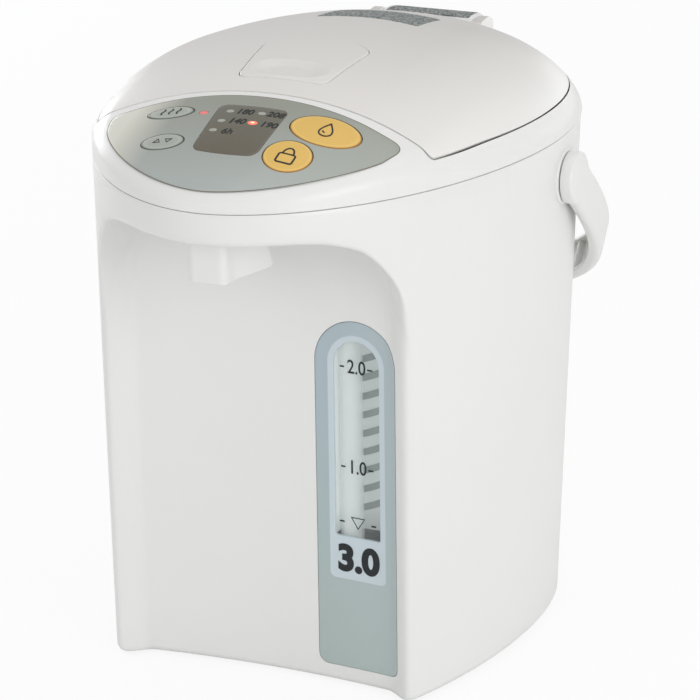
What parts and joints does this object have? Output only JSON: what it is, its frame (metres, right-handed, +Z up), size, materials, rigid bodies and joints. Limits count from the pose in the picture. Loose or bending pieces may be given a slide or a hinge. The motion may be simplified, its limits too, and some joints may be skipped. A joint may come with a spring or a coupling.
{
  "type": "electric thermo pot",
  "caption": "Electric water boiler and warmer with a hinged lid, bail handle, level gauge, motor pump and a beak with a slanted control panel over the cup space.",
  "frame": {"origin": "on the table, at the middle of the pot's overall length and width, handle included", "axes": "+X to the right seen from the front, +Y to the back, +Z up; the beak with its panel points to -Y"},
  "size_m": [0.2344, 0.292, 0.2922],
  "materials": {
    "white": "satin",
    "lid": "satin",
    "panel": "satin metallic print",
    "smoke": "smooth",
    "silver": "satin",
    "amber": "satin",
    "gauge": "satin",
    "clear": "clear",
    "steel": "brushed",
    "rubber": "matt",
    "silicone": "matt",
    "felt": "felt",
    "dark": "matt",
    "circuit": "matt"
  },
  "bodies": {
    "pot": {"body_casing": "white", "upper_cover": "white", "base_plate": "white", "spout_housing": "white", "hinge_hood": "white", "handle_pivot_left": "white", "handle_pivot_right": "white", "control_panel": "panel", "display_window": "smoke", "gauge_panel": "gauge", "gauge_backing": "gauge", "gauge_window": "clear", "gauge_tube": "clear", "light_guide": "clear", "inner_vessel": "steel", "vessel_support": "steel", "heater_ring": "steel", "motor_case": "steel", "base_screw_1": "steel", "base_screw_2": "steel", "base_screw_3": "steel", "base_screw_4": "steel", "inlet_pin_left": "steel", "inlet_pin_right": "steel", "hinge_pin": "steel", "foot_1": "rubber", "foot_2": "rubber", "foot_3": "rubber", "foot_4": "rubber", "vessel_seal": "silicone", "inlet_hose": "silicone", "outlet_hose": "silicone", "delivery_pipe": "silicone", "spout_nozzle": "silicone", "insulation_sleeve": "felt", "thermostat": "dark", "pump_housing": "dark", "pump_cover": "dark", "power_inlet": "dark", "control_board": "circuit", "power_board": "circuit"},
    "lid": {"lid_shell": "lid", "lid_liner": "white", "lid_inner_plate": "steel", "lid_gasket": "silicone", "steam_vent_cover": "white", "lever_pin": "steel", "lever_spring": "steel"},
    "lever": {"lid_lever": "lid"},
    "latch": {"latch_bolt": "dark"},
    "handle": {"carry_handle": "white"},
    "reboil_key": {"reboil_button": "silver"},
    "select_key": {"select_button": "silver"},
    "dispense_key": {"dispense_button": "amber"},
    "lock_key": {"lock_button": "amber"},
    "motor_rotor": {"coupling_magnet": "steel"},
    "pump_rotor": {"pump_impeller": "dark"}
  },
  "joints": [
    {"name": "lid_hinge", "type": "hinge", "parent": "pot", "child": "lid", "pos_m": [0, 0.1343, 0.2696], "axis": [-1, 0, 0], "range_deg": [0, 95]},
    {"name": "lever_press", "type": "hinge", "parent": "lid", "child": "lever", "pos_m": [0, -0.0057, 0.28563], "axis": [1, 0, 0], "range_deg": [0, 6.5], "stiffness_Nm_per_rad": 0.4, "springref_deg": -4.58, "deforming": ["lever_spring"]},
    {"name": "latch_slide", "type": "slide", "parent": "lid", "child": "latch", "axis": [0, 1, 0], "range_m": [0, 0.0025]},
    {"name": "handle_swing", "type": "hinge", "parent": "pot", "child": "handle", "pos_m": [0, 0.0293, 0.2291], "axis": [1, 0, 0], "range_deg": [0, 128.5]},
    {"name": "reboil_press", "type": "slide", "parent": "pot", "child": "reboil_key", "axis": [0, 0.3383, -0.9411], "range_m": [0, 0.0008], "stiffness_N_per_m": 400, "springref_m": -0.001},
    {"name": "select_press", "type": "slide", "parent": "pot", "child": "select_key", "axis": [0, 0.3383, -0.9411], "range_m": [0, 0.0008], "stiffness_N_per_m": 400, "springref_m": -0.001},
    {"name": "dispense_press", "type": "slide", "parent": "pot", "child": "dispense_key", "axis": [0, 0.3383, -0.9411], "range_m": [0, 0.0008], "stiffness_N_per_m": 400, "springref_m": -0.001},
    {"name": "lock_press", "type": "slide", "parent": "pot", "child": "lock_key", "axis": [0, 0.3383, -0.9411], "range_m": [0, 0.0008], "stiffness_N_per_m": 400, "springref_m": -0.001},
    {"name": "motor_spin", "type": "hinge", "parent": "pot", "child": "motor_rotor", "pos_m": [0.017, 0.0073, 0.0316], "axis": [0, 0, 1], "continuous": true},
    {"name": "impeller_spin", "type": "hinge", "parent": "pot", "child": "pump_rotor", "pos_m": [0.017, 0.0073, 0.0396], "axis": [0, 0, 1], "continuous": true}
  ],
  "couplings": [
    {"joint": "latch_slide", "follows": "lever_press", "m_per_rad": 0.021155},
    {"joint": "impeller_spin", "follows": "motor_spin", "ratio": 1}
  ]
}
